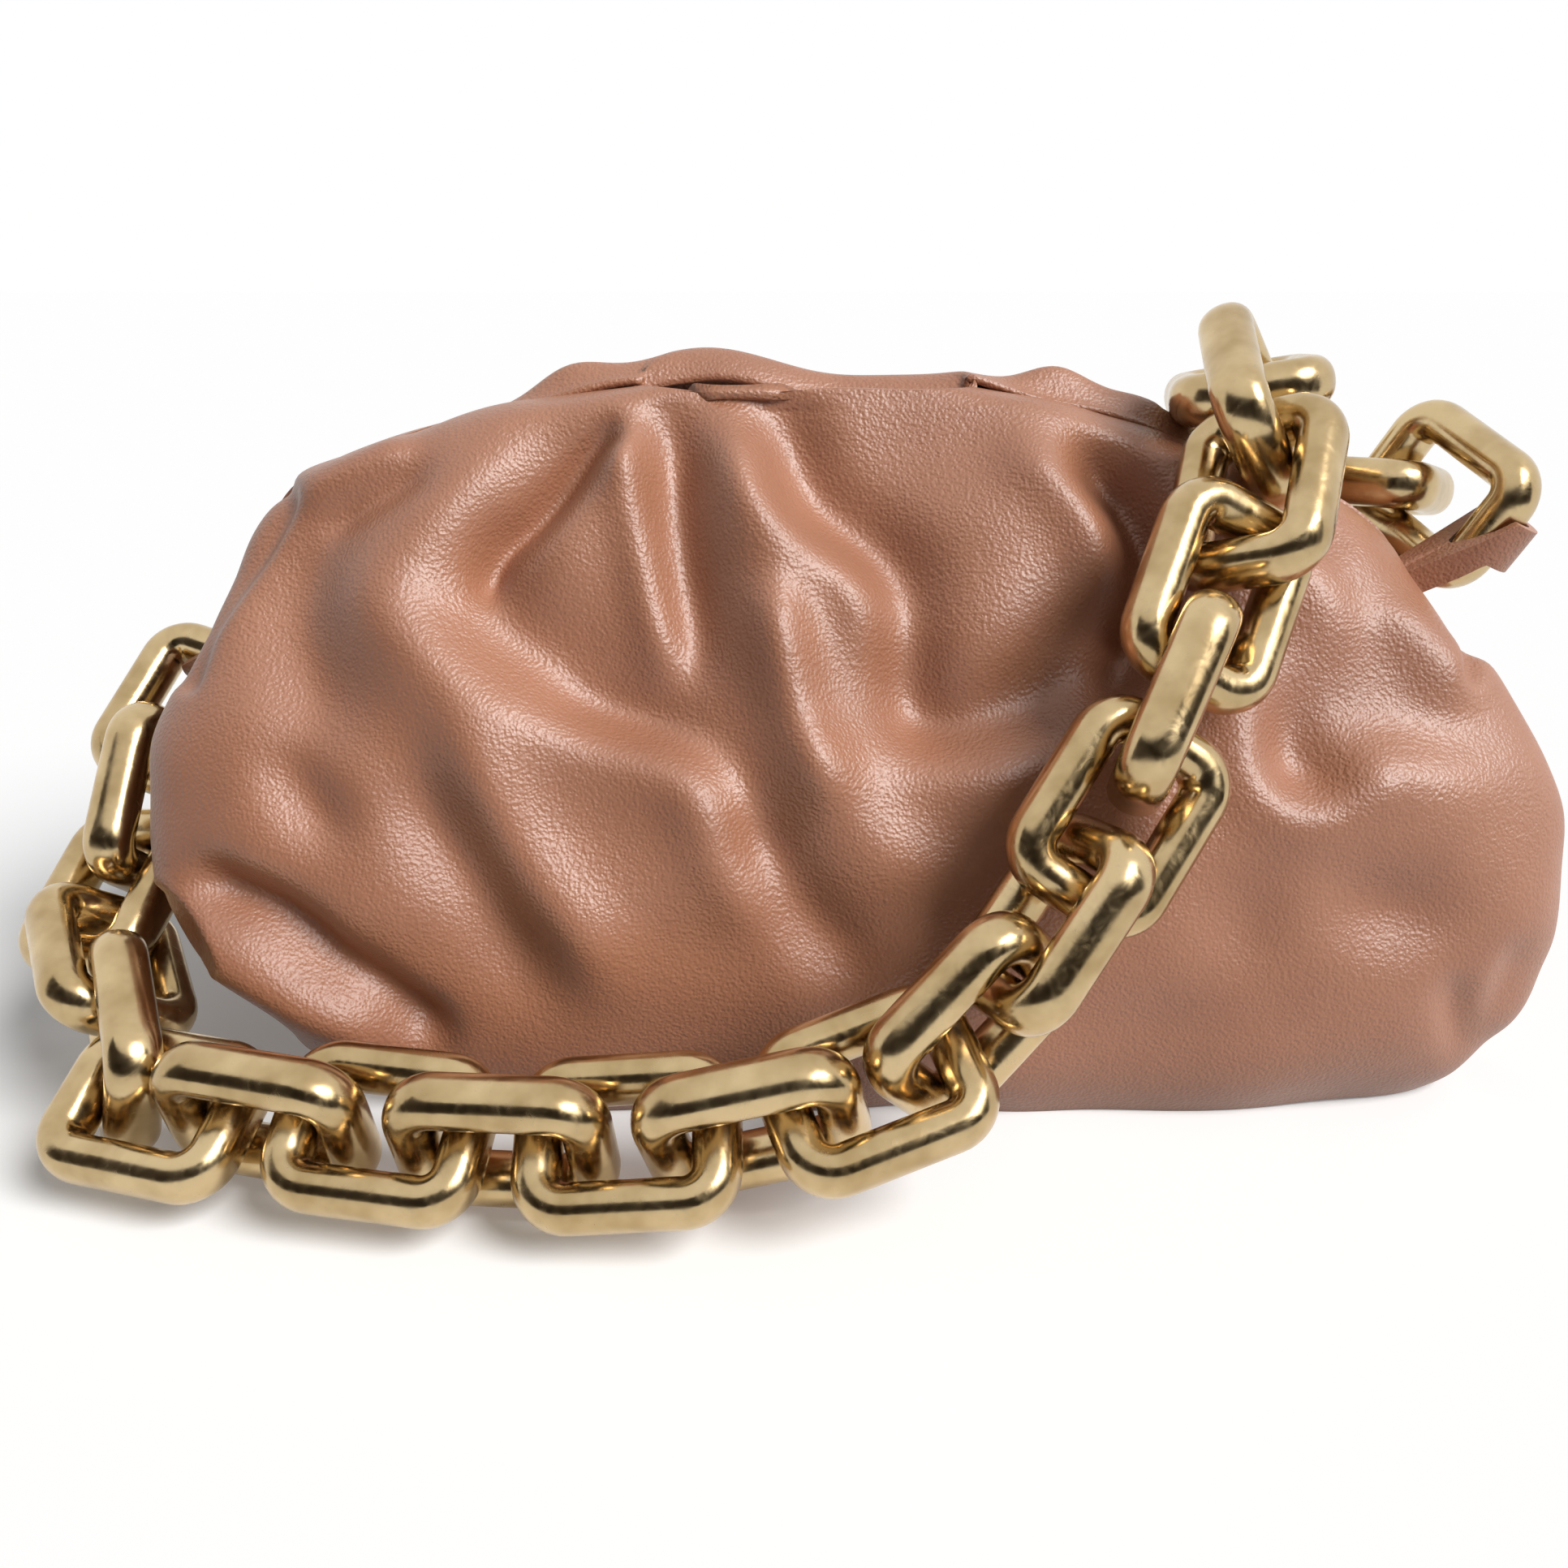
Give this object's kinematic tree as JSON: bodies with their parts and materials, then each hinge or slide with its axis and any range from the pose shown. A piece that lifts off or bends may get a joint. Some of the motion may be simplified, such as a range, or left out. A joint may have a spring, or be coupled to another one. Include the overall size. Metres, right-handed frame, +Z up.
{
  "type": "chain shoulder bag",
  "caption": "Soft leather frame pouch with a gathered magnetic mouth, carried by a chunky chain of rounded rectangular metal links held in leather tabs.",
  "frame": {"origin": "middle of the base on the ground", "axes": "+X along the mouth, +Y to the rear, +Z up"},
  "size_m": [0.3239, 0.159, 0.1593],
  "materials": {
    "leather": "smooth soft calf with a fine grain",
    "lining": "matt",
    "frame": "plain",
    "magnet": "plated",
    "chain": "polished, lightly worn"
  },
  "bodies": {
    "bag": {"leather_base": "leather", "leather_front": "leather", "leather_rear": "leather", "lining": "lining", "front_frame": "frame", "front_magnets": "magnet", "left_hinge_pin": "frame", "right_hinge_pin": "frame", "left_chain_tab": "leather", "right_chain_tab": "leather"},
    "mouth_rear": {"rear_frame": "frame", "rear_magnets": "magnet", "leather_rear_fold": "leather"},
    "link_01": {"chain_link_01": "chain"},
    "link_02": {"chain_link_02": "chain"},
    "link_03": {"chain_link_03": "chain"},
    "link_04": {"chain_link_04": "chain"},
    "link_05": {"chain_link_05": "chain"},
    "link_06": {"chain_link_06": "chain"},
    "link_07": {"chain_link_07": "chain"},
    "link_08": {"chain_link_08": "chain"},
    "link_09": {"chain_link_09": "chain"},
    "link_10": {"chain_link_10": "chain"},
    "link_11": {"chain_link_11": "chain"},
    "link_12": {"chain_link_12": "chain"},
    "link_13": {"chain_link_13": "chain"},
    "link_14": {"chain_link_14": "chain"},
    "link_15": {"chain_link_15": "chain"},
    "link_16": {"chain_link_16": "chain"},
    "link_17": {"chain_link_17": "chain"},
    "link_18": {"chain_link_18": "chain"},
    "link_19": {"chain_link_19": "chain"},
    "link_20": {"chain_link_20": "chain"},
    "link_21": {"chain_link_21": "chain"},
    "link_22": {"chain_link_22": "chain"},
    "link_23": {"chain_link_23": "chain"}
  },
  "joints": [
    {"name": "mouth_open", "type": "hinge", "parent": "bag", "child": "mouth_rear", "pos_m": [0, 0, 0.096], "axis": [-1, 0, 0], "range_deg": [0, 60], "deforming": ["leather_rear_fold"]},
    {"name": "link_23_swing", "type": "hinge", "parent": "bag", "child": "link_23", "pos_m": [-0.14092, 0.01855, 0.08099], "axis": [0.436, -0.733, -0.522], "range_deg": [0, 3.5]},
    {"name": "link_22_swing", "type": "hinge", "parent": "link_23", "child": "link_22", "pos_m": [-0.15139, 0.00065, 0.0628], "axis": [0.132, -0.7019, -0.6999], "range_deg": [0, 18.5]},
    {"name": "link_21_swing", "type": "hinge", "parent": "link_22", "child": "link_21", "pos_m": [-0.15272, -0.01202, 0.044], "axis": [0.103, -0.9931, 0.056], "range_deg": [0, 13]},
    {"name": "link_20_swing", "type": "hinge", "parent": "link_21", "child": "link_20", "pos_m": [-0.15814, -0.03015, 0.03215], "axis": [0.3742, -0.096, -0.9224], "range_deg": [0, 1.5]},
    {"name": "link_19_swing", "type": "hinge", "parent": "link_20", "child": "link_19", "pos_m": [-0.1446, -0.04936, 0.02763], "axis": [-0.9017, -0.3889, -0.1889], "range_deg": [0, 7]},
    {"name": "link_18_swing", "type": "hinge", "parent": "link_19", "child": "link_18", "pos_m": [-0.13934, -0.07113, 0.01702], "axis": [0.058, -0.137, -0.9889], "range_deg": [0, 5]},
    {"name": "link_17_swing", "type": "hinge", "parent": "link_18", "child": "link_17", "pos_m": [-0.11797, -0.07727, 0.01801], "axis": [0.846, -0.519, 0.122], "range_deg": [0, 15.5]},
    {"name": "link_16_swing", "type": "hinge", "parent": "link_17", "child": "link_16", "pos_m": [-0.09547, -0.08178, 0.01831], "axis": [0.6198, -0.7828, -0.056], "range_deg": [0, 15.5]},
    {"name": "link_15_swing", "type": "hinge", "parent": "link_16", "child": "link_15", "pos_m": [-0.07302, -0.08588, 0.01793], "axis": [-0.078, -0.4728, -0.8777], "range_deg": [0, 18.5]},
    {"name": "link_14_swing", "type": "hinge", "parent": "link_15", "child": "link_14", "pos_m": [-0.05032, -0.08811, 0.01824], "axis": [-0.536, -0.7891, -0.3], "range_deg": [0, 18.5]},
    {"name": "link_13_swing", "type": "hinge", "parent": "link_14", "child": "link_13", "pos_m": [-0.02762, -0.08912, 0.02026], "axis": [0.9998, 0.016, 0.011], "range_deg": [0, 22]},
    {"name": "link_12_swing", "type": "hinge", "parent": "link_13", "child": "link_12", "pos_m": [-0.00532, -0.08873, 0.02539], "axis": [0.4261, -0.8742, 0.233], "range_deg": [0, 10]},
    {"name": "link_11_swing", "type": "hinge", "parent": "link_12", "child": "link_11", "pos_m": [0.01613, -0.08253, 0.0303], "axis": [0.6627, 0.3618, 0.6557], "range_deg": [0, 22]},
    {"name": "link_10_swing", "type": "hinge", "parent": "link_11", "child": "link_10", "pos_m": [0.03095, -0.07748, 0.04691], "axis": [0.7422, 0.3571, -0.5671], "range_deg": [0, 22]},
    {"name": "link_09_swing", "type": "hinge", "parent": "link_10", "child": "link_09", "pos_m": [0.04352, -0.07009, 0.06446], "axis": [0.5938, 0.8008, 0.078], "range_deg": [0, 22]},
    {"name": "link_08_swing", "type": "hinge", "parent": "link_09", "child": "link_08", "pos_m": [0.05574, -0.06155, 0.08176], "axis": [0.7017, 0.6108, 0.3669], "range_deg": [0, 22]},
    {"name": "link_07_swing", "type": "hinge", "parent": "link_08", "child": "link_07", "pos_m": [0.06502, -0.05202, 0.10039], "axis": [-0.028, -0.9112, -0.4111], "range_deg": [0, 22]},
    {"name": "link_06_swing", "type": "hinge", "parent": "link_07", "child": "link_06", "pos_m": [0.07426, -0.04116, 0.11842], "axis": [0.058, -0.137, -0.9889], "range_deg": [0, 22]},
    {"name": "link_05_swing", "type": "hinge", "parent": "link_06", "child": "link_05", "pos_m": [0.08065, -0.02681, 0.13532], "axis": [0.436, -0.733, -0.522], "range_deg": [0, 13]},
    {"name": "link_04_swing", "type": "hinge", "parent": "link_05", "child": "link_04", "pos_m": [0.08257, -0.00617, 0.14464], "axis": [0.4, -0.427, -0.811], "range_deg": [0, 18.5]},
    {"name": "link_01_swing", "type": "hinge", "parent": "bag", "child": "link_01", "pos_m": [0.13677, -0.00416, 0.11321], "axis": [-0.238, 0.365, -0.9001], "range_deg": [0, 15.5]},
    {"name": "link_02_swing", "type": "hinge", "parent": "link_01", "child": "link_02", "pos_m": [0.12886, 0.02124, 0.12147], "axis": [-0.4699, 0.8709, -0.144], "range_deg": [0, 15.5]},
    {"name": "link_03_swing", "type": "hinge", "parent": "link_02", "child": "link_03", "pos_m": [0.10625, 0.03442, 0.11321], "axis": [0.8589, -0.106, 0.501], "range_deg": [0, 15.5]}
  ]
}
